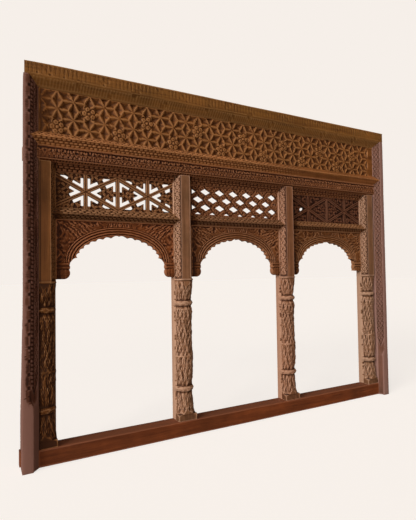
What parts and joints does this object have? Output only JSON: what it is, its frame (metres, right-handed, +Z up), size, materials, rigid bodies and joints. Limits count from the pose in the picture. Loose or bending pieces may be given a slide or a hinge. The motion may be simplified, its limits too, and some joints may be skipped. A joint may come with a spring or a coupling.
{
  "type": "carved jharokha window frame",
  "caption": "Carved wooden window frame with cusped arches between turned and carved posts, pierced grilles above them and a sunk star frieze under a fluted top rail.",
  "frame": {"origin": "middle of the sill's flat back face, where the frame is set against the wall", "axes": "+X along the frame, to the right as seen from the carved side; +Y into the wall, square to the flat back; +Z up"},
  "size_m": [1.81, 0.085, 1.405],
  "materials": {
    "golden_wood": "old waxed hardwood, dull",
    "purple_wood": "old waxed hardwood, darkened",
    "pale_wood": "old waxed hardwood, worn paler",
    "red_wood": "old waxed hardwood, reddish",
    "dark_wood": "old waxed hardwood, dark red brown"
  },
  "bodies": {
    "root": {"stile_left": "purple_wood", "stile_right": "purple_wood", "top_rail": "golden_wood", "ledge_rail": "golden_wood", "jamb_left": "pale_wood", "post_left": "pale_wood", "post_right": "pale_wood", "jamb_right": "pale_wood", "sill": "red_wood", "lintel": "dark_wood", "transom_left": "golden_wood", "grille_left": "golden_wood", "arch_left": "red_wood", "transom_middle": "golden_wood", "grille_middle": "golden_wood", "arch_middle": "red_wood", "transom_right": "golden_wood", "grille_right": "golden_wood", "arch_right": "red_wood", "star_frieze": "golden_wood"}
  },
  "joints": []
}
